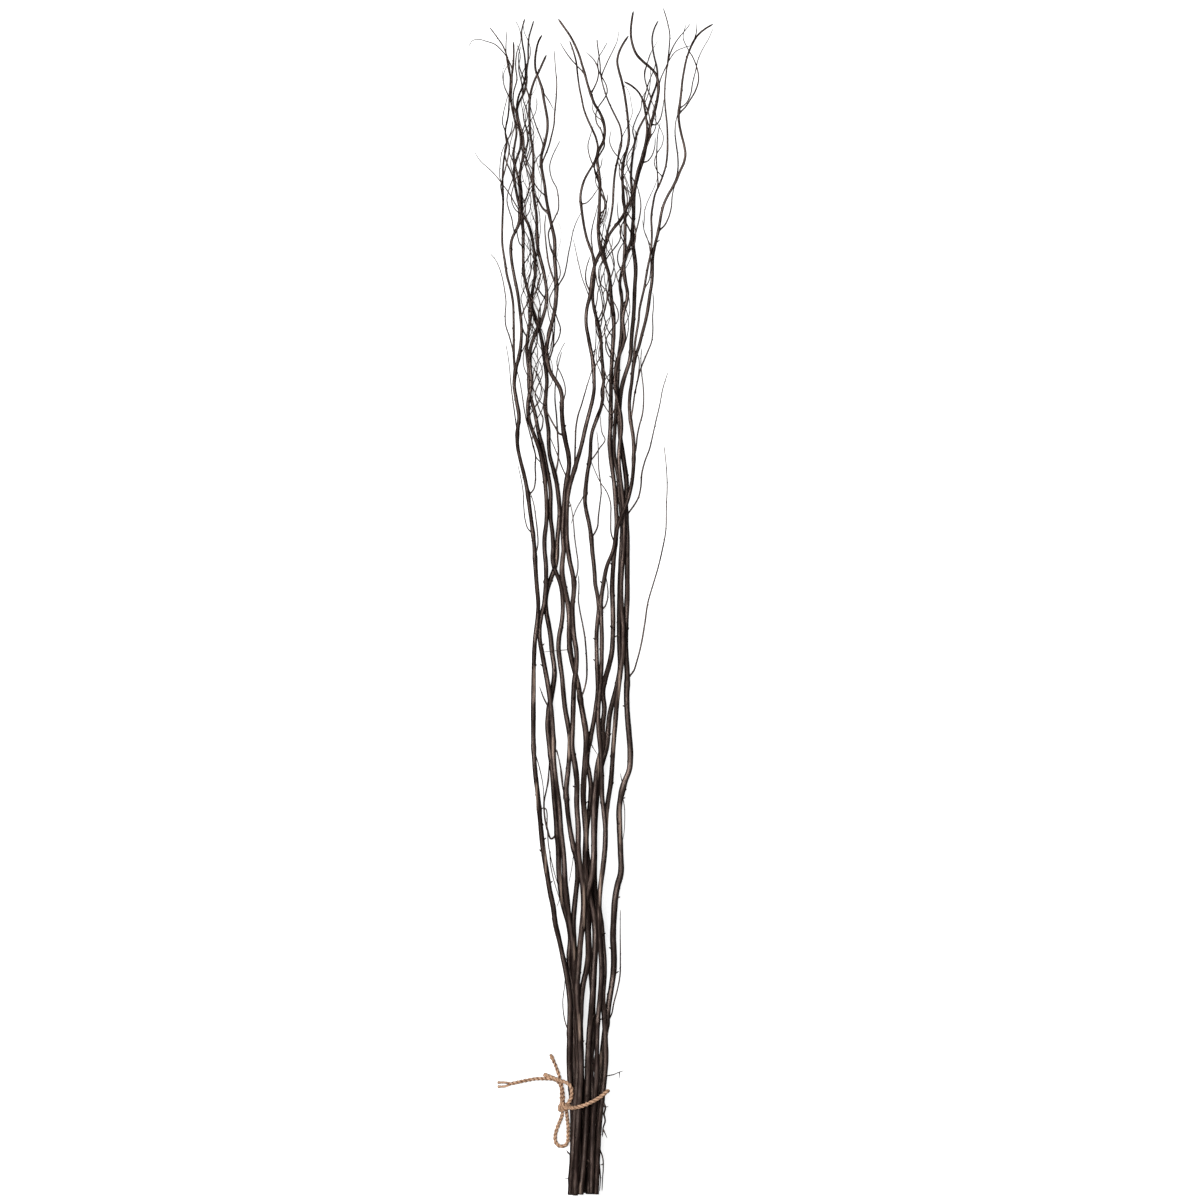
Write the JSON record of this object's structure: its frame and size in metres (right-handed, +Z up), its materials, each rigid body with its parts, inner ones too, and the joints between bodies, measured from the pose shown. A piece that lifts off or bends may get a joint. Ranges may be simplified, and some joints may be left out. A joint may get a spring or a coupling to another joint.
{
  "type": "willow stem bunch",
  "caption": "Bunch of dried curly willow stems lying flat, fanned out to wavy branching tips and tied with jute twine near the cut ends.",
  "frame": {"origin": "on the surface that the bunch lies on, under the middle of its bounding box (free twine ends left out)", "axes": "+Y along the bunch from the cut ends to the tips, +Z up from the surface, +X to the right seen from above with the tips away from the viewer"},
  "size_m": [0.3058, 1.4814, 0.0499],
  "materials": {
    "bark": "dark brown dried willow bark, satin, with paler worn streaks along it",
    "jute": "matt tan two-ply jute twine with loose fibres"
  },
  "bodies": {
    "root": {"stem_01": "bark", "stem_02": "bark", "stem_03": "bark", "stem_04": "bark", "stem_05": "bark", "stem_06": "bark", "stem_07": "bark", "stem_08": "bark", "stem_09": "bark", "stem_10": "bark", "stem_11": "bark", "stem_12": "bark", "twine_wrap": "jute", "twine_loop": "jute", "twine_tail_long": "jute", "twine_tail_up": "jute", "twine_tail_short": "jute"}
  },
  "joints": []
}
